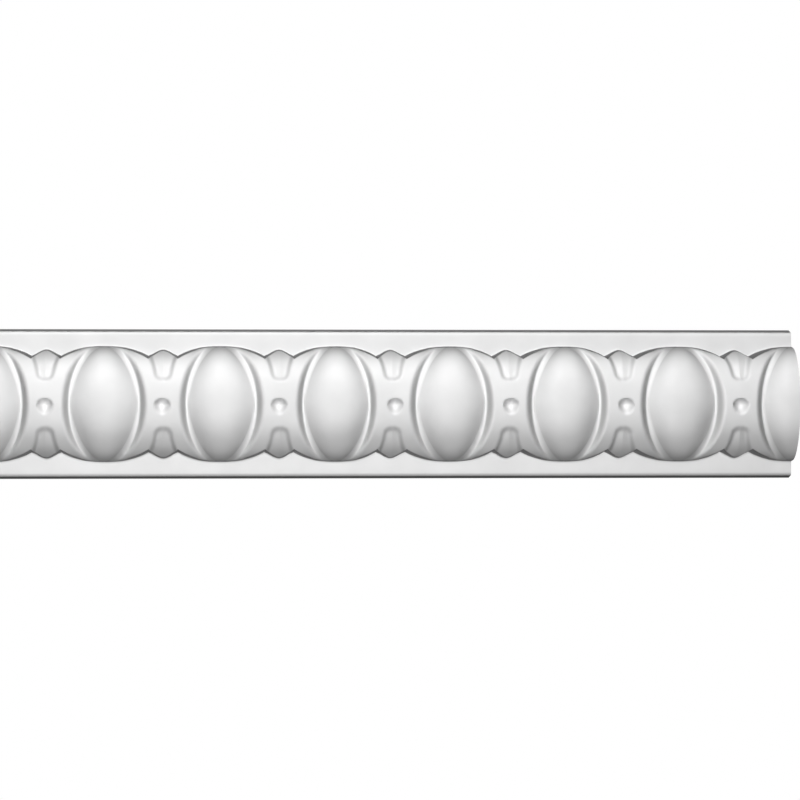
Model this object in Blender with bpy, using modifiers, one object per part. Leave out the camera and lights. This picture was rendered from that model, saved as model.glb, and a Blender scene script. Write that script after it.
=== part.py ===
"""Egg-and-dart moulding: one straight length, cast in flexible polyurethane.

X runs along the length, Z is up and the carved face looks towards -Y. The back is flat at Y = 0,
and the origin is in the middle of the back.

One quarter of one repeat is a sheet: its columns follow the carving from the middle of an egg to the
waist between two eggs, and its rows run from the middle of the face over the long edge to the middle
of the back. Mirror and Array turn it into the row, which is then cut square at both ends.
"""

from math import cos, hypot, pi, radians, sin, sqrt

import bmesh
import bpy
from mathutils import Matrix

NAME = "egg_and_dart_moulding"

# The strip, in metres
LENGTH = 0.320
STRIP_HEIGHT = 0.060
STRIP_THICKNESS = 0.0056
EDGE_RADIUS = 0.0016
SIDE_DRAFT = 0.0009

# The row of eggs: the distance between two eggs, and the place of the one nearest to the middle
REPEAT = 0.0461
FIRST_EGG = 0.0211

# The half-round roll that all the carving follows, and how far its axis stands before the strip
ROLL_HALF_HEIGHT = 0.0229
ROLL_DEPTH = 0.0180
ROLL_LIFT = 0.0016

# The outline of the carving: an oval about each egg, then a pointed tongue between two notches
OUTLINE_HALF_WIDTH = 0.0279
NOTCH = 0.0172
TONGUE_TIP = 0.0213
TIP_ROUNDNESS = 0.30

# The egg: the half sizes of its oval edge, and how far the middle stands before that edge.
# A roundness of 2 is a plain oval, and less is more pointed. A fullness of 2 is a round face,
# and more is flatter in the middle.
EGG_OVAL = (0.0128, 0.0231)
EGG_ROUNDNESS = 1.7
EGG_BULGE = 0.0056
EGG_FULLNESS = 2.5

# The groove beside the egg and the steep shoulder up to the saddle, as ovals about the egg.
# The groove lies below the egg's edge, and the shoulder is rounded over a share of its width
# at its foot and at its top.
GROOVE_OVAL = (0.0136, 0.0238)
GROOVE_DEPTH = 0.0006
SHOULDER_OVAL = (0.0173, 0.0252)
SHOULDER_EASE_IN = 0.20
SHOULDER_EASE_OUT = 0.56
SADDLE_DROP = 0.0010

# The tongue's bed, sunk between the saddle's arms, and how far its tip bends back
BED_END = 0.0087
BED_HALF_WIDTH = 0.0039
BED_CORNER = 0.0033
BED_WALL = 0.0024
BED_DEPTH = 0.0011
RIDGE_SLOPE = 0.25
TIP_FALL_START = 0.0150
TIP_FALL = 0.0016

# Where the carving meets the strip
WALL_DRAFT = 0.10
FILLET = 0.0008
FILLET_HEIGHT = 0.0008

# The dimple in the middle of each saddle, a little below the waist
DIMPLE_RADIUS = 0.0030
DIMPLE_DEPTH = 0.0023
DIMPLE_DROP = 0.0005

# The fineness of the sheet and of the dimples; the egg's columns stand at these shares of its half width
EGG_COLUMNS = (0.0, 0.40, 0.70, 0.90)
ROWS_ABOVE_BED_END = 5
FILLET_ROWS = 2
EDGE_ROWS = 3
BALL_SEGMENTS = 16
BALL_RINGS = 12

HALF_REPEAT = REPEAT / 2
EGGS_EACH_SIDE = 4
HALVING_STEPS = 40
MERGE_DISTANCE = 0.00001
FLAT_ANGLE = radians(0.2)
SHARP_ANGLE = radians(32)


def oval(half_sizes, z, roundness=2):
    """Half the width, at the height z, of an oval about the egg's middle."""
    half_width, half_height = half_sizes
    return half_width * (1 - (z / half_height) ** roundness) ** (1 / roundness)


def egg_middle(z):
    return 0.0


def egg_edge(z):
    return oval(EGG_OVAL, z, EGG_ROUNDNESS)


def groove_edge(z):
    return oval(GROOVE_OVAL, z)


def shoulder_edge(z):
    return oval(SHOULDER_OVAL, z)


def bed_edge(z):
    """The side of the tongue's bed: straight to the bed's end, then flaring out to the notch."""
    flare = max(z - BED_END, 0.0) / (outline(NOTCH) - BED_END)
    return HALF_REPEAT - BED_HALF_WIDTH - (HALF_REPEAT - NOTCH - BED_HALF_WIDTH) * flare ** 2


def bed_foot(z):
    return bed_edge(z) + BED_WALL


def waist(z):
    return HALF_REPEAT


def outline(x):
    """The height at which the carving ends on the strip."""
    if x <= NOTCH:
        return ROLL_HALF_HEIGHT * sqrt(1 - (x / OUTLINE_HALF_WIDTH) ** 2)
    away = (HALF_REPEAT - x) / (HALF_REPEAT - NOTCH)
    fall = hypot(away, TIP_ROUNDNESS) - TIP_ROUNDNESS
    full_fall = hypot(1, TIP_ROUNDNESS) - TIP_ROUNDNESS
    return TONGUE_TIP - (TONGUE_TIP - outline(NOTCH)) * fall / full_fall


def egg_relief(across, z):
    """How far the egg's face lies behind the roll, at a share of the way from its middle to its edge."""
    return EGG_BULGE * egg_edge(z) / EGG_OVAL[0] * across ** EGG_FULLNESS


def eased_ramp(share):
    """The shoulder's rise from 0 to 1: straight, and rounded at its foot and at its top."""
    full_rise = 1 - SHOULDER_EASE_IN / 2 - SHOULDER_EASE_OUT / 2
    if share < SHOULDER_EASE_IN:
        rise = share ** 2 / (2 * SHOULDER_EASE_IN)
    elif share < 1 - SHOULDER_EASE_OUT:
        rise = share - SHOULDER_EASE_IN / 2
    else:
        rise = full_rise - (1 - share) ** 2 / (2 * SHOULDER_EASE_OUT)
    return rise / full_rise


def shoulder_relief(x, z):
    """Down from the egg's edge to the groove's floor, then up the shoulder to the saddle's face."""
    rim = egg_relief(1.0, z)
    floor = rim + GROOVE_DEPTH
    if x < groove_edge(z):
        return rim + GROOVE_DEPTH * (x - egg_edge(z)) / (groove_edge(z) - egg_edge(z))
    across = (x - groove_edge(z)) / (shoulder_edge(z) - groove_edge(z))
    return floor + (SADDLE_DROP - floor) * eased_ramp(min(across, 1.0))


def bed_relief(x, z):
    """How deep the tongue lies in its round-cornered bed, with a ridge along its middle."""
    past_side = max(BED_CORNER - (x - bed_edge(z)), 0.0)
    past_end = max(BED_CORNER - (z - BED_END), 0.0)
    inside = (BED_CORNER - hypot(past_side, past_end)) / BED_WALL
    inside = min(max(inside, 0.0), 1.0)
    to_tip = max(z - TIP_FALL_START, 0.0) / (TONGUE_TIP - TIP_FALL_START)
    depth = BED_DEPTH + RIDGE_SLOPE * (HALF_REPEAT - x) + TIP_FALL * to_tip ** 2
    return depth * inside ** 2 * (3 - 2 * inside)


def relief_height(x, z):
    """The height of the carving over the strip's face."""
    roll = ROLL_LIFT + ROLL_DEPTH * sqrt(max(1 - (z / ROLL_HALF_HEIGHT) ** 2, 0.0))
    if x <= egg_edge(z):
        return roll - egg_relief(x / egg_edge(z), z)
    if x <= shoulder_edge(z):
        return roll - shoulder_relief(x, z)
    return roll - SADDLE_DROP - bed_relief(x, z)


def between(near, far, share):
    """A line a share of the way between two lines of the carving."""
    return lambda z: near(z) + share * (far(z) - near(z))


def column_paths():
    """The lines that the sheet's columns follow, from the middle of the egg to the waist."""
    rounded_top = 1 - SHOULDER_EASE_OUT
    zones = (
        (egg_middle, egg_edge, EGG_COLUMNS),
        (egg_edge, groove_edge, (0.0,)),
        (groove_edge, shoulder_edge, (0.0, SHOULDER_EASE_IN, rounded_top, (1 + rounded_top) / 2)),
        (shoulder_edge, bed_edge, (0.0, 0.5)),
        (bed_edge, bed_foot, (0.0,)),
        (bed_foot, waist, (0.0, 0.5, 1.0)),
    )
    return [between(near, far, share) for near, far, shares in zones for share in shares]


def outline_crossing(path):
    """The height at which a column reaches the outline, found by halving."""
    low = 0.0
    high = ROLL_HALF_HEIGHT
    for _ in range(HALVING_STEPS):
        middle = (low + high) / 2
        if middle < outline(path(middle)):
            low = middle
        else:
            high = middle
    return low


def face_point(x, height, z):
    """A point at a height over the strip's face."""
    return (x, -STRIP_THICKNESS - height, z)


def row_heights(top):
    """The rows: two at the wall of the bed's end, and closer together where the roll turns back."""
    foot = BED_END + BED_WALL
    above = [foot + (top - foot) * sin(pi / 2 * row / ROWS_ABOVE_BED_END)
             for row in range(ROWS_ABOVE_BED_END + 1)]
    return [0.0, BED_END / 2, BED_END] + above


def carving_points(path, top):
    """The column's points on the carving."""
    return [face_point(path(z), relief_height(path(z), z), z) for z in row_heights(top)]


def fillet_points(x, top):
    """The foot of the carving's wall, and its hollow fillet on to the strip."""
    foot = top + WALL_DRAFT * relief_height(x, top)
    points = []
    for row in range(FILLET_ROWS + 1):
        turn = pi / 2 * row / FILLET_ROWS
        points.append(face_point(x, FILLET_HEIGHT * (1 - sin(turn)), foot + FILLET * (1 - cos(turn))))
    return points


def strip_points(x):
    """The rounded long edge, the tapered side and the flat back."""
    side = STRIP_HEIGHT / 2 - SIDE_DRAFT
    points = []
    for row in range(EDGE_ROWS + 1):
        turn = pi / 2 * row / EDGE_ROWS
        points.append(face_point(x, -EDGE_RADIUS * (1 - cos(turn)), side - EDGE_RADIUS * (1 - sin(turn))))
    points.append((x, 0.0, STRIP_HEIGHT / 2))
    points.append((x, 0.0, 0.0))
    return points


def column_points(path):
    """One column, from the middle of the face round to the middle of the back."""
    top = outline_crossing(path)
    x = path(top)
    return carving_points(path, top) + fillet_points(x, top) + strip_points(x)


def quarter_sheet():
    """The quarter of one repeat, as a grid laid on the columns."""
    columns = [column_points(path) for path in column_paths()]
    across = len(columns) - 1
    along = len(columns[0]) - 1
    bm = bmesh.new()
    bmesh.ops.create_grid(bm, x_segments=across, y_segments=along, size=0.5)
    for vert in bm.verts:
        column = round((vert.co.x + 0.5) * across)
        row = round((vert.co.y + 0.5) * along)
        vert.co = columns[column][row]
    mesh = bpy.data.meshes.new(NAME)
    bm.to_mesh(mesh)
    bm.free()
    return mesh


def add_row(collection):
    """The quarter mirrored to a whole repeat, and the repeats set side by side."""
    row = bpy.data.objects.new(NAME, quarter_sheet())
    collection.objects.link(row)
    mirror = row.modifiers.new("Mirror", "MIRROR")
    mirror.use_axis = (True, False, True)
    mirror.merge_threshold = MERGE_DISTANCE
    array = row.modifiers.new("Array", "ARRAY")
    array.count = 2 * EGGS_EACH_SIDE
    array.use_relative_offset = False
    array.use_constant_offset = True
    array.constant_offset_displace = (REPEAT, 0.0, 0.0)
    array.use_merge_vertices = True
    array.merge_threshold = MERGE_DISTANCE
    return row


def cut_square(bm, end):
    """Cuts the row off at one end of the length and closes it with a flat face."""
    geometry = bm.verts[:] + bm.edges[:] + bm.faces[:]
    cut = bmesh.ops.bisect_plane(bm, geom=geometry, clear_outer=True,
                                 plane_co=(end * LENGTH / 2, 0.0, 0.0), plane_no=(end, 0.0, 0.0))
    rim = [item for item in cut["geom_cut"] if isinstance(item, bmesh.types.BMEdge)]
    bmesh.ops.edgeloop_fill(bm, edges=rim)


def cut_to_length(row):
    """Makes the row one closed mesh, square at both ends, with each flat as a single face."""
    evaluated = row.evaluated_get(bpy.context.evaluated_depsgraph_get())
    mesh = bpy.data.meshes.new_from_object(evaluated)
    row.modifiers.clear()
    bm = bmesh.new()
    bm.from_mesh(mesh)
    first_egg = FIRST_EGG - EGGS_EACH_SIDE * REPEAT
    bmesh.ops.translate(bm, vec=(first_egg, 0.0, 0.0), verts=bm.verts)
    cut_square(bm, -1)
    cut_square(bm, 1)
    bmesh.ops.dissolve_limit(bm, angle_limit=FLAT_ANGLE, verts=bm.verts, edges=bm.edges)
    bmesh.ops.recalc_face_normals(bm, faces=bm.faces)
    bm.to_mesh(mesh)
    bm.free()
    row.data = mesh


def add_dimple_balls(collection):
    """A ball before every saddle, whose cap is the dimple."""
    radius = (DIMPLE_RADIUS ** 2 + DIMPLE_DEPTH ** 2) / (2 * DIMPLE_DEPTH)
    saddle_front = STRIP_THICKNESS + ROLL_LIFT + ROLL_DEPTH - SADDLE_DROP
    turned = Matrix.Rotation(pi / 2, 4, "X") @ Matrix.Rotation(pi / BALL_SEGMENTS, 4, "Z")
    bm = bmesh.new()
    for place in range(-EGGS_EACH_SIDE, EGGS_EACH_SIDE - 1):
        waist_place = FIRST_EGG + (place + 0.5) * REPEAT
        middle = (waist_place, DIMPLE_DEPTH - saddle_front - radius, -DIMPLE_DROP)
        bmesh.ops.create_uvsphere(bm, u_segments=BALL_SEGMENTS, v_segments=BALL_RINGS, radius=radius,
                                  matrix=Matrix.Translation(middle) @ turned)
    mesh = bpy.data.meshes.new("dimple_balls")
    bm.to_mesh(mesh)
    bm.free()
    balls = bpy.data.objects.new("dimple_balls", mesh)
    balls.hide_render = True
    balls.display_type = "WIRE"
    collection.objects.link(balls)
    return balls


def cut_dimples(moulding, balls):
    """Sinks the round dimple into the waist of every saddle."""
    boolean = moulding.modifiers.new("Dimples", "BOOLEAN")
    boolean.operation = "DIFFERENCE"
    boolean.object = balls


def primed_polyurethane():
    """The casting's white primer."""
    material = bpy.data.materials.new("primed_polyurethane")
    material.use_nodes = True
    shader = material.node_tree.nodes["Principled BSDF"]
    shader.inputs["Base Color"].default_value = (0.85, 0.85, 0.85, 1.0)
    shader.inputs["Roughness"].default_value = 0.55
    shader.inputs["Metallic"].default_value = 0.0
    return material


def add_collection(name):
    collection = bpy.data.collections.new(name)
    bpy.context.scene.collection.children.link(collection)
    return collection


def main():
    for item in list(bpy.data.objects):
        bpy.data.objects.remove(item, do_unlink=True)
    moulding = add_row(add_collection(NAME))
    cut_to_length(moulding)
    moulding.data.materials.append(primed_polyurethane())
    moulding.data.shade_smooth()
    moulding.data.set_sharp_from_angle(angle=SHARP_ANGLE)
    cut_dimples(moulding, add_dimple_balls(add_collection("cutters")))


main()
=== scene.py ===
from math import cos, hypot, pi, radians, sin, sqrt

import bmesh
import bpy
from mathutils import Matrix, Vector, noise


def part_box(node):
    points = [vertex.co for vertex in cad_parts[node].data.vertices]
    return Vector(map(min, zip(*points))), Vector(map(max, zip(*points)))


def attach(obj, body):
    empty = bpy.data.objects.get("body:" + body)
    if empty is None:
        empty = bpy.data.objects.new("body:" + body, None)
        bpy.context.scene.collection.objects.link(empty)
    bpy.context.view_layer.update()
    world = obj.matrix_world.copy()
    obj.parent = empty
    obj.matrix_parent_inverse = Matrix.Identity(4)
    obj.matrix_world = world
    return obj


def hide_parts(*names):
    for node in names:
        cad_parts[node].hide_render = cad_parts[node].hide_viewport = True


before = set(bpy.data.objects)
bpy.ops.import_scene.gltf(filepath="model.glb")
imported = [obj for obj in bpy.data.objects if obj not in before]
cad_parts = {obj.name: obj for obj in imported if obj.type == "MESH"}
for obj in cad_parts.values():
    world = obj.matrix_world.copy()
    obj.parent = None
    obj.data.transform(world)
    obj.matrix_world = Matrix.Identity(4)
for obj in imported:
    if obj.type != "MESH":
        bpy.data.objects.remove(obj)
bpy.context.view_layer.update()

scene = bpy.context.scene
print("frame loaded")


# Where the photo was taken from: pixels of its 800 wide picture, and metres
photoView = {
    "pictureWidth": 800,
    "stripPixels": 149.0,      # the strip's height in the picture
    "originPixel": 395.65,     # the column of the length's middle
    "standPixel": 175,         # the camera stands opposite this column
    "aimPixel": 398.4,
    "aimRise": 4.0,            # the strip lies this far below the picture's middle
    "distance": 1.30,
    "fit": 0.998,              # the share of the picture's width that the camera takes in
    "sensor": 36.0,
    "clipEnd": 50.0,
}

castingNode = "egg_and_dart_moulding"
castingLow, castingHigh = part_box(castingNode)
stripHeight = castingHigh.z - castingLow.z
pixelSize = stripHeight / photoView["stripPixels"]
stripFront = -0.0056    # the strip's flat face, in front of its back at 0


def columnPlace(pixel):
    return (pixel - photoView["originPixel"]) * pixelSize


def addCamera():
    data = bpy.data.cameras.new("photoCamera")
    camera = bpy.data.objects.new("photoCamera", data)
    scene.collection.objects.link(camera)
    stand = columnPlace(photoView["standPixel"])
    camera.location = (stand, stripFront - photoView["distance"], 0.0)
    aim = Vector((columnPlace(photoView["aimPixel"]), stripFront, photoView["aimRise"] * pixelSize))
    sight = aim - camera.location
    camera.rotation_euler = sight.to_track_quat("-Z", "Y").to_euler()
    data.sensor_width = photoView["sensor"]
    shownWidth = photoView["pictureWidth"] * pixelSize * photoView["fit"]
    data.lens = photoView["sensor"] * sight.length / shownWidth
    data.clip_end = photoView["clipEnd"]
    scene.camera = camera


# Soft boxes: elevation and side turn in degrees, the rest in metres and watts.
# The two in front cast no shadow, because the photo shows none.
softBoxes = {
    "keyBox": {"lift": 57, "turn": 0, "away": 0.75, "size": 0.15, "power": 4.50, "shadow": False},
    "lowBox": {"lift": -20, "turn": 0, "away": 0.72, "size": 0.15, "power": 2.75, "shadow": False},
    "rearLeftBox": {"lift": 8, "turn": -125, "away": 1.2, "size": 0.5, "power": 11.0, "shadow": True},
    "rearRightBox": {"lift": 8, "turn": 125, "away": 1.2, "size": 0.5, "power": 11.0, "shadow": True},
}
frontBoxPixel = 200    # the front boxes stand opposite this column of the picture
boxColumn = columnPlace(frontBoxPixel)


def addSoftBox(name, box):
    light = bpy.data.lights.new(name, "AREA")
    light.shape = "DISK"
    light.size = box["size"]
    light.energy = box["power"]
    light.use_shadow = box["shadow"]
    holder = bpy.data.objects.new(name, light)
    scene.collection.objects.link(holder)
    lift, turn = radians(box["lift"]), radians(box["turn"])
    lit = Vector((boxColumn if box["turn"] == 0 else 0.0, 0.0, 0.0))
    out = Vector((sin(turn) * cos(lift), -cos(turn) * cos(lift), sin(lift)))
    holder.location = lit + out * box["away"]
    holder.rotation_euler = (-out).to_track_quat("-Z", "Y").to_euler()


# The page behind and the floor look white to the camera, and add only a little fill to the light
studio = {
    "backdrop": 1.0,
    "fill": 0.03,
    "floorDrop": 1.6,
    "floorSize": 8.0,
    "paper": (0.10, 0.10, 0.10, 1.0),
    "paperRoughness": 0.9,
}
white = (1.0, 1.0, 1.0, 1.0)


def addStudioWorld():
    world = bpy.data.worlds.new("studioWorld")
    scene.world = world
    world.use_nodes = True
    nodes, links = world.node_tree.nodes, world.node_tree.links
    fill = nodes["Background"]
    fill.inputs["Color"].default_value = white
    fill.inputs["Strength"].default_value = studio["fill"]
    seen = nodes.new("ShaderNodeBackground")
    seen.inputs["Color"].default_value = white
    seen.inputs["Strength"].default_value = studio["backdrop"]
    path = nodes.new("ShaderNodeLightPath")
    choose = nodes.new("ShaderNodeMixShader")
    links.new(path.outputs["Is Camera Ray"], choose.inputs["Fac"])
    links.new(fill.outputs["Background"], choose.inputs[1])
    links.new(seen.outputs["Background"], choose.inputs[2])
    links.new(choose.outputs["Shader"], nodes["World Output"].inputs["Surface"])


def addFloor():
    half = studio["floorSize"] / 2
    bm = bmesh.new()
    bmesh.ops.create_grid(bm, x_segments=1, y_segments=1, size=half)
    mesh = bpy.data.meshes.new("studioFloor")
    bm.to_mesh(mesh)
    bm.free()
    floor = bpy.data.objects.new("studioFloor", mesh)
    floor.location.z = castingLow.z - studio["floorDrop"]
    scene.collection.objects.link(floor)
    paper = bpy.data.materials.new("paleFloor")
    paper.use_nodes = True
    nodes, links = paper.node_tree.nodes, paper.node_tree.links
    shader = nodes["Principled BSDF"]
    shader.inputs["Base Color"].default_value = studio["paper"]
    shader.inputs["Roughness"].default_value = studio["paperRoughness"]
    path = nodes.new("ShaderNodeLightPath")
    links.new(path.outputs["Is Camera Ray"], shader.inputs["Emission Strength"])
    shader.inputs["Emission Color"].default_value = white
    floor.data.materials.append(paper)


# The casting's carving, in metres, measured from the middle of an egg
carving = {
    "repeat": 0.0461,
    "firstEgg": 0.0211,
    "eggsEachSide": 4,
    "rollHalfHeight": 0.0229,
    "rollDepth": 0.0180,
    "rollLift": 0.0016,
    "outlineHalfWidth": 0.0279,
    "notch": 0.0172,
    "tongueTip": 0.0213,
    "tipRoundness": 0.30,
    "eggOval": (0.0128, 0.0231),
    "eggRoundness": 1.7,       # 2 is a plain oval, less is more pointed
    "eggBulge": 0.0056,
    "eggFullness": 2.5,        # 2 is a round face, more is flatter in the middle
    "grooveDepth": 0.0006,     # below the egg's edge
    "grooveFall": 1.3,         # above 1 the groove is at its full depth before its outer edge
    "grooveOval": (0.0136, 0.0238),
    "shoulderOval": (0.0173, 0.0252),
    "shoulderEase": (0.20, 0.56),    # the shares of its width rounded at the foot and at the top
    "saddleDrop": 0.0010,
    "bedEnd": 0.0087,
    "bedHalfWidth": 0.0039,
    "bedCorner": 0.0033,
    "bedWall": 0.0024,
    "bedDepth": 0.0011,
    "ridgeSlope": 0.25,
    "tipFallStart": 0.0150,    # from here the tongue bends back to its tip
    "tipFall": 0.0016,
    "wallDraft": 0.10,         # how far the wall leans out for its height
    "fillet": 0.0008,
    "filletHeight": 0.0008,
    "dimpleDrop": 0.0004,      # its deepest point lies this far below the middle
    "dimpleHalfWidth": 0.0033,
    "dimpleRise": 0.0029,      # its reach above the deepest point, and below it
    "dimpleRun": 0.0045,
    "dimpleFade": 1.6,         # how quickly its lower half runs out
    "dimpleRound": 1.65,       # 2 is a bowl, and less is more pointed
    "dimpleDepth": 0.0033,
    "edgeRadius": 0.0016,
    "sideDraft": 0.0009,
    "arris": 0.0004,
}
halfRepeat = carving["repeat"] / 2

# How many faces each part of a quarter repeat gets
fineness = {
    "egg": 14, "grooveFloor": 3, "shoulder": 12, "saddle": 8, "bedWall": 5, "bed": 8,
    "dimpleRows": 12, "saddleRows": 6, "bedEndRows": 5, "upperRows": 18,
    "wallRows": 2, "filletRows": 6, "flatRows": 3, "edgeRows": 6, "backRows": 2,
}
eggCrowding = 1.5         # above 1 an egg's columns stand closer together towards its edge
halvingSteps = 40         # how often the search for the carving's edge is halved
seamDistance = 0.00001    # points nearer than this become one where repeats meet


def halfOval(sizes, z, roundness=2):
    halfWidth, halfHeight = sizes
    return halfWidth * (1 - (z / halfHeight) ** roundness) ** (1 / roundness)


def smoothStep(share):
    share = min(max(share, 0.0), 1.0)
    return share * share * (3 - 2 * share)


def eggMiddle(z):
    return 0.0


def eggEdge(z):
    return halfOval(carving["eggOval"], z, carving["eggRoundness"])


def grooveEdge(z):
    return halfOval(carving["grooveOval"], z)


def shoulderEdge(z):
    return halfOval(carving["shoulderOval"], z)


def carvingTop(x):
    # the height at which the carving ends on the strip
    notch, tip, roundness = carving["notch"], carving["tongueTip"], carving["tipRoundness"]
    if x <= notch:
        return carving["rollHalfHeight"] * sqrt(1 - (x / carving["outlineHalfWidth"]) ** 2)
    away = (halfRepeat - x) / (halfRepeat - notch)
    fall = (hypot(away, roundness) - roundness) / (hypot(1, roundness) - roundness)
    return tip - (tip - carvingTop(notch)) * fall


def bedEdge(z):
    # straight to the bed's end, then flaring out to the notch
    flare = max(z - carving["bedEnd"], 0.0) / (carvingTop(carving["notch"]) - carving["bedEnd"])
    opening = halfRepeat - carving["notch"] - carving["bedHalfWidth"]
    return halfRepeat - carving["bedHalfWidth"] - opening * flare ** 2


def bedFoot(z):
    return bedEdge(z) + carving["bedWall"]


def waist(z):
    return halfRepeat


def eggRelief(across, z):
    # how far the egg's face lies back, at a share of the way from its middle to its edge
    bulge = carving["eggBulge"] * eggEdge(z) / carving["eggOval"][0]
    return bulge * across ** carving["eggFullness"]


def easedRamp(share, easeIn, easeOut):
    # a straight slope from 0 to 1, rounded at its foot and at its top
    if share < easeIn:
        rise = share ** 2 / (2 * easeIn)
    elif share < 1 - easeOut:
        rise = share - easeIn / 2
    else:
        rise = 1 - easeIn / 2 - easeOut / 2 - (1 - share) ** 2 / (2 * easeOut)
    return rise / (1 - easeIn / 2 - easeOut / 2)


def shoulderRelief(x, z):
    # down from the egg's edge to the groove's floor, then up to the saddle
    rim = eggRelief(1.0, z)
    floor = rim + carving["grooveDepth"]
    if x < grooveEdge(z):
        share = (x - eggEdge(z)) / (grooveEdge(z) - eggEdge(z))
        return rim + (floor - rim) * smoothStep(carving["grooveFall"] * share)
    across = (x - grooveEdge(z)) / (shoulderEdge(z) - grooveEdge(z))
    rise = easedRamp(min(across, 1.0), *carving["shoulderEase"])
    return floor + (carving["saddleDrop"] - floor) * rise


def bedRelief(x, z):
    # how deep the tongue's bed lies, with round corners at its end and a ridge along its middle
    pastSide, pastEnd, corner = x - bedEdge(z), z - carving["bedEnd"], carving["bedCorner"]
    inside = corner - hypot(max(corner - pastSide, 0.0), max(corner - pastEnd, 0.0))
    toTip = max(z - carving["tipFallStart"], 0.0) / (carving["tongueTip"] - carving["tipFallStart"])
    belowRidge = carving["ridgeSlope"] * (halfRepeat - x)
    depth = carving["bedDepth"] + belowRidge + carving["tipFall"] * toTip ** 2
    return depth * smoothStep(inside / carving["bedWall"])


def dimpleRelief(away, z):
    # a hollow at a distance from the waist, steep above and running out below
    z += carving["dimpleDrop"]
    reach = carving["dimpleRise"] if z > 0 else carving["dimpleRun"]
    share = min(hypot(away / carving["dimpleHalfWidth"], z / reach), 1.0)
    runOut = 1 + carving["dimpleFade"] * max(-z / reach, 0.0)
    return carving["dimpleDepth"] * (1 - share ** carving["dimpleRound"]) ** runOut


def arrisRelief(x, z):
    # rounds the edge where the carving turns down to the strip
    arris = carving["arris"]
    inside = min(max(carvingTop(x) - z, 0.0), arris)
    return arris - sqrt(max(arris ** 2 - (arris - inside) ** 2, 0.0))


def reliefHeight(x, z):
    # the height of the carved face over the strip
    curve = sqrt(max(1 - (z / carving["rollHalfHeight"]) ** 2, 0.0))
    roll = carving["rollLift"] + carving["rollDepth"] * curve
    if x <= eggEdge(z):
        return roll - eggRelief(x / eggEdge(z), z)
    if x <= shoulderEdge(z):
        return roll - shoulderRelief(x, z)
    return roll - carving["saddleDrop"] - bedRelief(x, z) - arrisRelief(x, z)


def lineBetween(near, far, share):
    # a line at a share of the way from one line to the next
    return lambda z: near(z) + share * (far(z) - near(z))


def columnPaths():
    # the lines that the columns follow, from the middle of an egg to the waist
    zones = (
        (eggMiddle, eggEdge, fineness["egg"], eggCrowding),
        (eggEdge, grooveEdge, fineness["grooveFloor"], 1.0),
        (grooveEdge, shoulderEdge, fineness["shoulder"], 1.0),
        (shoulderEdge, bedEdge, fineness["saddle"], 1.0),
        (bedEdge, bedFoot, fineness["bedWall"], 1.0),
        (bedFoot, waist, fineness["bed"], 1.0),
    )
    paths = []
    for near, far, steps, crowding in zones:
        for step in range(steps):
            share = 1 - (1 - step / steps) ** crowding
            paths.append(lineBetween(near, far, share))
    return paths + [waist]


def evenly(start, end, steps):
    return [start + (end - start) * step / steps for step in range(steps)]


def rowHeights(top):
    bedEnd = carving["bedEnd"]
    foot = bedEnd + carving["bedWall"]
    dimpleEnd = carving["dimpleDrop"] + carving["dimpleRun"]
    rows = evenly(0.0, dimpleEnd, fineness["dimpleRows"])
    rows += evenly(dimpleEnd, bedEnd, fineness["saddleRows"])
    rows += evenly(bedEnd, foot, fineness["bedEndRows"])
    turns = evenly(0.0, pi / 2, fineness["upperRows"])
    return rows + [foot + (top - foot) * sin(turn) for turn in turns] + [top]


def carvingCrossing(path):
    # the height at which a column runs into the carving's edge
    low, high = 0.0, carving["rollHalfHeight"]
    for _ in range(halvingSteps):
        middle = (low + high) / 2
        if middle < carvingTop(path(middle)):
            low = middle
        else:
            high = middle
    return low


def wallProfile(x, top):
    # the wall under the carving's edge and the hollow fillet, as pairs of height over the strip and z
    start = reliefHeight(x, top)
    foot = top + carving["wallDraft"] * start
    fillet, filletHeight = carving["fillet"], carving["filletHeight"]
    profile = []
    for step in range(1, fineness["wallRows"]):
        share = step / fineness["wallRows"]
        profile.append((start + (filletHeight - start) * share, top + (foot - top) * share))
    for step in range(fineness["filletRows"] + 1):
        turn = pi / 2 * step / fineness["filletRows"]
        profile.append((filletHeight * (1 - sin(turn)), foot + fillet * (1 - cos(turn))))
    return profile


def stripProfile(filletEnd):
    # the strip's flat and its rounded long edge; the tapered side follows down to the back
    side = stripHeight / 2 - carving["sideDraft"]
    edge = carving["edgeRadius"]
    profile = [(0.0, z) for z in evenly(filletEnd, side - edge, fineness["flatRows"])[1:]]
    for step in range(fineness["edgeRows"] + 1):
        turn = pi / 2 * step / fineness["edgeRows"]
        profile.append((-edge * (1 - cos(turn)), side - edge * (1 - sin(turn))))
    return profile


def columnPoints(path):
    top = carvingCrossing(path)
    points = [(path(z), reliefHeight(path(z), z), z) for z in rowHeights(top)]
    x = path(top)
    wall = wallProfile(x, top)
    points += [(x, height, z) for height, z in wall + stripProfile(wall[-1][1])]
    points = [Vector((x, stripFront - height, z)) for x, height, z in points]
    backHeights = evenly(stripHeight / 2, 0.0, fineness["backRows"]) + [0.0]
    return points + [Vector((x, 0.0, z)) for z in backHeights]


def quarterSheet():
    # a flat grid whose points are moved to the columns, from an egg's middle to the waist
    columns = [columnPoints(path) for path in columnPaths()]
    across, along = len(columns) - 1, len(columns[0]) - 1
    bm = bmesh.new()
    bmesh.ops.create_grid(bm, x_segments=across, y_segments=along, size=0.5)
    for vert in bm.verts:
        column = round((vert.co.x + 0.5) * across)
        row = round((vert.co.y + 0.5) * along)
        vert.co = columns[column][row]
    mesh = bpy.data.meshes.new("mouldingCasting")
    bm.to_mesh(mesh)
    bm.free()
    return mesh


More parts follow.
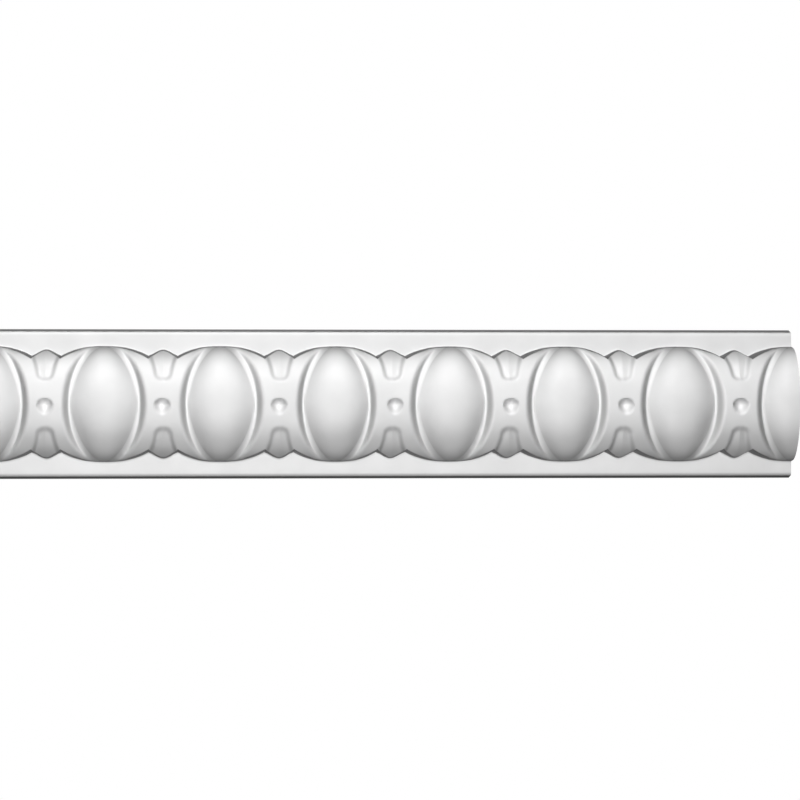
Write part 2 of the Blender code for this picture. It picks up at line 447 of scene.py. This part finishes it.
def wholeRow():
    # the quarter mirrored to a repeat and set side by side
    row = bpy.data.objects.new("mouldingCasting", quarterSheet())
    scene.collection.objects.link(row)
    mirror = row.modifiers.new("mirror", "MIRROR")
    mirror.use_axis = (True, False, True)
    mirror.merge_threshold = seamDistance
    array = row.modifiers.new("array", "ARRAY")
    array.count = 2 * carving["eggsEachSide"]
    array.use_relative_offset = False
    array.use_constant_offset = True
    array.constant_offset_displace = (carving["repeat"], 0.0, 0.0)
    array.use_merge_vertices = True
    array.merge_threshold = seamDistance
    return row


def cutSquare(bm, place, outward):
    geometry = bm.verts[:] + bm.edges[:] + bm.faces[:]
    cut = bmesh.ops.bisect_plane(bm, geom=geometry, clear_outer=True,
                                 plane_co=(place, 0.0, 0.0), plane_no=(outward, 0.0, 0.0))
    rim = [item for item in cut["geom_cut"] if isinstance(item, bmesh.types.BMEdge)]
    bmesh.ops.edgeloop_fill(bm, edges=rim)


# What the carver's hand left uneven: how far each tongue stands off the middle between its eggs,
# and a slight wave of the whole face
handwork = {
    "tongueShifts": (0.0001, 0.0004, 0.0005, -0.0010, -0.0004, -0.0009, 0.0001),
    "waveDepth": 0.00007,
    "waveSize": 0.011,
    "overStrip": 0.0002,    # only what stands higher than this over the strip is carved
}


def leaveHandwork(bm):
    firstTongue = carving["firstEgg"] + (0.5 - carving["eggsEachSide"]) * carving["repeat"]
    for vert in bm.verts:
        place = (vert.co.x - firstTongue) / carving["repeat"]
        number = round(place)
        if not 0 <= number < len(handwork["tongueShifts"]):
            continue
        vert.co.x += handwork["tongueShifts"][number] * cos(pi * (place - number)) ** 2
        onCarving = vert.co.y < stripFront - handwork["overStrip"]
        if onCarving:
            away = vert.co.x - firstTongue - number * carving["repeat"]
            vert.co.y += dimpleRelief(away, vert.co.z)
            vert.co.y += handwork["waveDepth"] * (1 + noise.noise(vert.co / handwork["waveSize"]))


atFlat = 0.00001    # nearer than this is on the flat end or back
sharpTurn = 40      # degrees; faces that meet at more than this keep a sharp edge
backMaterial, endMaterial = 1, 2


def addCasting():
    row = wholeRow()
    evaluated = row.evaluated_get(bpy.context.evaluated_depsgraph_get())
    mesh = bpy.data.meshes.new_from_object(evaluated)
    row.modifiers.clear()
    bm = bmesh.new()
    bm.from_mesh(mesh)
    firstEgg = carving["firstEgg"] - carving["eggsEachSide"] * carving["repeat"]
    bmesh.ops.translate(bm, vec=(firstEgg, 0.0, 0.0), verts=bm.verts)
    leaveHandwork(bm)
    cutSquare(bm, castingLow.x, -1)
    cutSquare(bm, castingHigh.x, 1)
    bmesh.ops.recalc_face_normals(bm, faces=bm.faces)
    for face in bm.faces:
        middle = face.calc_center_median()
        atEnd = min(middle.x - castingLow.x, castingHigh.x - middle.x) < atFlat
        if atEnd:
            face.material_index = endMaterial
        elif middle.y > -atFlat:
            face.material_index = backMaterial
        face.smooth = not atEnd
    bm.to_mesh(mesh)
    bm.free()
    row.data = mesh
    mesh.set_sharp_from_angle(angle=radians(sharpTurn))
    mesh.materials.append(whitePrimer())
    mesh.materials.append(bareCasting("sandedBack", sandedBack))
    mesh.materials.append(bareCasting("sawnEnd", sawnEnd))
    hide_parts(castingNode)
    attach(row, "root")
    print("casting:", len(mesh.polygons), "faces")


def addSocket(group, name, kind, inOut="INPUT", value=None):
    socket = group.interface.new_socket(name=name, in_out=inOut, socket_type=kind)
    if value is not None:
        socket.default_value = value


def objectNoise(nodes, links, scale=1.0, detail=2.0):
    place = nodes.new("ShaderNodeTexCoord")
    pattern = nodes.new("ShaderNodeTexNoise")
    pattern.inputs["Scale"].default_value = scale
    pattern.inputs["Detail"].default_value = detail
    links.new(place.outputs["Object"], pattern.inputs["Vector"])
    return pattern


# Fixed values inside the effects
effects = {
    "cloudSpread": (0.3, 0.7),     # the part of the noise's values that is spread from 0 to 1
    "lineSpread": (0.33, 0.67),
    "rippleScale": 420.0,          # of the primer's coarser ripple
    "bubbleEdge": (0.22, 0.08),    # how far from its middle a bubble starts and is at its deepest
}


def spreadValues(nodes, links, value, ends):
    spread = nodes.new("ShaderNodeMapRange")
    spread.inputs["From Min"].default_value, spread.inputs["From Max"].default_value = ends
    links.new(value, spread.inputs["Value"])
    return spread


def mottleGroup():
    # slow cloudy change between two values
    group = bpy.data.node_groups.new("mottle", "ShaderNodeTree")
    addSocket(group, "Scale", "NodeSocketFloat", value=60.0)
    addSocket(group, "Low", "NodeSocketFloat", value=0.0)
    addSocket(group, "High", "NodeSocketFloat", value=1.0)
    addSocket(group, "Value", "NodeSocketFloat", "OUTPUT")
    nodes, links = group.nodes, group.links
    inputs, outputs = nodes.new("NodeGroupInput"), nodes.new("NodeGroupOutput")
    pattern = objectNoise(nodes, links, detail=3.0)
    links.new(inputs.outputs["Scale"], pattern.inputs["Scale"])
    spread = spreadValues(nodes, links, pattern.outputs["Fac"], effects["cloudSpread"])
    links.new(inputs.outputs["Low"], spread.inputs["To Min"])
    links.new(inputs.outputs["High"], spread.inputs["To Max"])
    links.new(spread.outputs["Result"], outputs.inputs["Value"])
    return group


def toothGroup():
    # the fine tooth of sprayed primer over cast resin, as a height
    group = bpy.data.node_groups.new("tooth", "ShaderNodeTree")
    addSocket(group, "Scale", "NodeSocketFloat", value=2500.0)
    addSocket(group, "Ripple", "NodeSocketFloat", value=0.5)
    addSocket(group, "Height", "NodeSocketFloat", "OUTPUT")
    nodes, links = group.nodes, group.links
    inputs, outputs = nodes.new("NodeGroupInput"), nodes.new("NodeGroupOutput")
    fine = objectNoise(nodes, links)
    links.new(inputs.outputs["Scale"], fine.inputs["Scale"])
    coarse = objectNoise(nodes, links, scale=effects["rippleScale"], detail=1.0)
    mix = nodes.new("ShaderNodeMath")
    mix.operation = "MULTIPLY_ADD"
    links.new(coarse.outputs["Fac"], mix.inputs[0])
    links.new(inputs.outputs["Ripple"], mix.inputs[1])
    links.new(fine.outputs["Fac"], mix.inputs[2])
    links.new(mix.outputs["Value"], outputs.inputs["Height"])
    return group


def steepShadeGroup():
    # a painted-shade mask: 1 where a surface faces the front, falling to 0 as it turns away, so steep
    # walls and creases are darkened as if in shade
    group = bpy.data.node_groups.new("steepShadeMask", "ShaderNodeTree")
    addSocket(group, "Bare", "NodeSocketFloat", value=0.2)
    addSocket(group, "Full", "NodeSocketFloat", value=0.6)
    addSocket(group, "Unshaded", "NodeSocketFloat", "OUTPUT")
    nodes, links = group.nodes, group.links
    inputs, outputs = nodes.new("NodeGroupInput"), nodes.new("NodeGroupOutput")
    place = nodes.new("ShaderNodeTexCoord")
    facing = nodes.new("ShaderNodeVectorMath")
    facing.operation = "DOT_PRODUCT"
    facing.inputs[1].default_value = (0.0, -1.0, 0.0)
    links.new(place.outputs["Normal"], facing.inputs[0])
    spread = nodes.new("ShaderNodeMapRange")
    spread.interpolation_type = "SMOOTHSTEP"
    links.new(facing.outputs["Value"], spread.inputs["Value"])
    links.new(inputs.outputs["Bare"], spread.inputs["From Min"])
    links.new(inputs.outputs["Full"], spread.inputs["From Max"])
    links.new(spread.outputs["Result"], outputs.inputs["Unshaded"])
    return group


def bladeGroup():
    # the fine lines a sander or a saw leaves, drawn out along one direction, as a height
    group = bpy.data.node_groups.new("bladeLines", "ShaderNodeTree")
    addSocket(group, "Scale", "NodeSocketFloat", value=900.0)
    addSocket(group, "Stretch", "NodeSocketVector", value=(1.0, 1.0, 1.0))
    addSocket(group, "Height", "NodeSocketFloat", "OUTPUT")
    nodes, links = group.nodes, group.links
    inputs, outputs = nodes.new("NodeGroupInput"), nodes.new("NodeGroupOutput")
    place = nodes.new("ShaderNodeTexCoord")
    drawn = nodes.new("ShaderNodeVectorMath")
    drawn.operation = "MULTIPLY"
    links.new(place.outputs["Object"], drawn.inputs[0])
    links.new(inputs.outputs["Stretch"], drawn.inputs[1])
    lines = nodes.new("ShaderNodeTexNoise")
    lines.inputs["Detail"].default_value = 2.0
    links.new(drawn.outputs["Vector"], lines.inputs["Vector"])
    links.new(inputs.outputs["Scale"], lines.inputs["Scale"])
    spread = spreadValues(nodes, links, lines.outputs["Fac"], effects["lineSpread"])
    links.new(spread.outputs["Result"], outputs.inputs["Height"])
    return group


def bubbleGroup():
    # round air bubbles opened by the cut, as a mask
    group = bpy.data.node_groups.new("airBubbles", "ShaderNodeTree")
    addSocket(group, "Scale", "NodeSocketFloat", value=260.0)
    addSocket(group, "Share", "NodeSocketFloat", value=0.2)
    addSocket(group, "Mask", "NodeSocketFloat", "OUTPUT")
    nodes, links = group.nodes, group.links
    inputs, outputs = nodes.new("NodeGroupInput"), nodes.new("NodeGroupOutput")
    place = nodes.new("ShaderNodeTexCoord")
    cells = nodes.new("ShaderNodeTexVoronoi")
    links.new(place.outputs["Object"], cells.inputs["Vector"])
    links.new(inputs.outputs["Scale"], cells.inputs["Scale"])
    hollow = spreadValues(nodes, links, cells.outputs["Distance"], effects["bubbleEdge"])
    hollow.interpolation_type = "SMOOTHSTEP"
    chance = nodes.new("ShaderNodeSeparateColor")
    links.new(cells.outputs["Color"], chance.inputs["Color"])
    chosen = nodes.new("ShaderNodeMath")
    chosen.operation = "LESS_THAN"
    links.new(chance.outputs["Red"], chosen.inputs[0])
    links.new(inputs.outputs["Share"], chosen.inputs[1])
    mask = nodes.new("ShaderNodeMath")
    mask.operation = "MULTIPLY"
    links.new(hollow.outputs["Result"], mask.inputs[0])
    links.new(chosen.outputs["Value"], mask.inputs[1])
    links.new(mask.outputs["Value"], outputs.inputs["Mask"])
    return group


def placeGroup(nodes, group, **values):
    node = nodes.new("ShaderNodeGroup")
    node.node_tree = group
    for name, value in values.items():
        node.inputs[name].default_value = value
    return node


def blendColours(nodes, links, mask, low, high):
    mix = nodes.new("ShaderNodeMix")
    mix.data_type = "RGBA"
    mix.inputs["A"].default_value = (*low, 1.0)
    mix.inputs["B"].default_value = (*high, 1.0)
    links.new(mask, mix.inputs["Factor"])
    return mix.outputs["Result"]


def addBump(nodes, links, shader, height, strength, distance, under=None):
    bump = nodes.new("ShaderNodeBump")
    bump.inputs["Strength"].default_value = strength
    bump.inputs["Distance"].default_value = distance
    links.new(height, bump.inputs["Height"])
    if under is not None:
        links.new(under, bump.inputs["Normal"])
    links.new(bump.outputs["Normal"], shader.inputs["Normal"])


# The white primer on the carved face. How far a surface turns to the front is 1 when it faces it.
primer = {
    "thin": (0.80, 0.80, 0.80),
    "full": (0.86, 0.86, 0.86),
    "clouds": 70.0,
    "steep": (0.15, 0.15, 0.15),    # painted shade: the dark tone that steep slopes are darkened towards
    "steepShadeStart": 0.92,               # turned less than this, the painted shade starts
    "steepShadeFullAt": -0.10,
    # painted shade, near black, on upright walls and the strip's long sides
    "paintedWallShade": (0.07, 0.07, 0.07),
    "wallShadeRange": (0.12, 0.24),     # turned less than the first, a wall or long side takes this painted shade in full
    "roughness": (0.50, 0.60),
    "sheenScale": 240.0,
    "tooth": 0.00002,
    "toothScale": 2600.0,
    "toothStrength": 0.6,
    "ripple": 0.6,
}


def paintSteepShade(nodes, links, coat, shadeTone, darkestBelow, full):
    # the primer where a surface faces the front, with a painted shade tone taking over as it turns
    # away
    facingMask = placeGroup(nodes, groups["steepShadeMask"], Bare=darkestBelow, Full=full)
    mix = nodes.new("ShaderNodeMix")
    mix.data_type = "RGBA"
    mix.inputs["A"].default_value = (*shadeTone, 1.0)
    links.new(coat, mix.inputs["B"])
    links.new(facingMask.outputs["Unshaded"], mix.inputs["Factor"])
    return mix.outputs["Result"]


def whitePrimer():
    material = bpy.data.materials.new("whitePrimer")
    material.use_nodes = True
    nodes, links = material.node_tree.nodes, material.node_tree.links
    shader = nodes["Principled BSDF"]
    coverage = placeGroup(nodes, groups["mottle"], Scale=primer["clouds"])
    coat = blendColours(nodes, links, coverage.outputs["Value"], primer["thin"], primer["full"])
    # painted shade: steep slopes are darkened, and upright walls and the strip's long sides made
    # nearly black, as if in shade
    steepShaded = paintSteepShade(nodes, links, coat, primer["steep"],
                          primer["steepShadeFullAt"], primer["steepShadeStart"])
    tone = paintSteepShade(nodes, links, steepShaded, primer["paintedWallShade"], *primer["wallShadeRange"])
    links.new(tone, shader.inputs["Base Color"])
    low, high = primer["roughness"]
    sheen = placeGroup(nodes, groups["mottle"], Scale=primer["sheenScale"], Low=low, High=high)
    links.new(sheen.outputs["Value"], shader.inputs["Roughness"])
    tooth = placeGroup(nodes, groups["tooth"], Scale=primer["toothScale"], Ripple=primer["ripple"])
    addBump(nodes, links, shader, tooth.outputs["Height"], primer["toothStrength"], primer["tooth"])
    return material


# The raw polyurethane, where the back is sanded flat and the ends are sawn off
bareResin = {
    "pale": (0.72, 0.70, 0.64),
    "deep": (0.62, 0.60, 0.55),
    # painted shade inside the opened bubbles' hollows
    "pitShade": (0.36, 0.35, 0.31),
    "clouds": 45.0,
    "cloudShade": 0.25,    # how far the clouds lift or lower the tone that the lines give
    "roughness": (0.55, 0.75),
    "sheenScale": 180.0,
    "lineDepth": 0.00006,
    "lineStrength": 0.8,
    "bubbleDepth": 0.00030,
}
# The lines run along the strip on the back, and across it on the ends
sandedBack = {"scale": 620.0, "stretch": (0.015, 1.0, 1.0), "bubbles": 340.0, "share": 0.14}
sawnEnd = {"scale": 900.0, "stretch": (1.0, 1.0, 0.03), "bubbles": 480.0, "share": 0.16}


def bareCasting(name, cut):
    material = bpy.data.materials.new(name)
    material.use_nodes = True
    nodes, links = material.node_tree.nodes, material.node_tree.links
    shader = nodes["Principled BSDF"]
    blade = placeGroup(nodes, groups["bladeLines"], Scale=cut["scale"], Stretch=cut["stretch"])
    bubbles = placeGroup(nodes, groups["airBubbles"], Scale=cut["bubbles"], Share=cut["share"])
    cloud = placeGroup(nodes, groups["mottle"], Scale=bareResin["clouds"],
                       Low=-bareResin["cloudShade"], High=bareResin["cloudShade"])
    shade = nodes.new("ShaderNodeMath")
    shade.operation = "ADD"
    links.new(cloud.outputs["Value"], shade.inputs[0])
    links.new(blade.outputs["Height"], shade.inputs[1])
    tone = blendColours(nodes, links, shade.outputs["Value"], bareResin["deep"], bareResin["pale"])
    # the bubbles' hollows darkened with painted shade; the bump below gives them real depth
    pitShaded = nodes.new("ShaderNodeMix")
    pitShaded.data_type = "RGBA"
    pitShaded.inputs["B"].default_value = (*bareResin["pitShade"], 1.0)
    links.new(tone, pitShaded.inputs["A"])
    links.new(bubbles.outputs["Mask"], pitShaded.inputs["Factor"])
    links.new(pitShaded.outputs["Result"], shader.inputs["Base Color"])
    low, high = bareResin["roughness"]
    sheen = placeGroup(nodes, groups["mottle"], Scale=bareResin["sheenScale"], Low=low, High=high)
    links.new(sheen.outputs["Value"], shader.inputs["Roughness"])
    hollow = nodes.new("ShaderNodeBump")
    hollow.invert = True
    hollow.inputs["Distance"].default_value = bareResin["bubbleDepth"]
    links.new(bubbles.outputs["Mask"], hollow.inputs["Height"])
    addBump(nodes, links, shader, blade.outputs["Height"], bareResin["lineStrength"],
            bareResin["lineDepth"], under=hollow.outputs["Normal"])
    return material


groups = {
    "mottle": mottleGroup(),
    "tooth": toothGroup(),
    "steepShadeMask": steepShadeGroup(),
    "bladeLines": bladeGroup(),
    "airBubbles": bubbleGroup(),
}

addCamera()
print("camera set")
addCasting()
for name, box in softBoxes.items():
    addSoftBox(name, box)
addStudioWorld()
addFloor()
scene.view_settings.view_transform = "Standard"
print("studio lit")
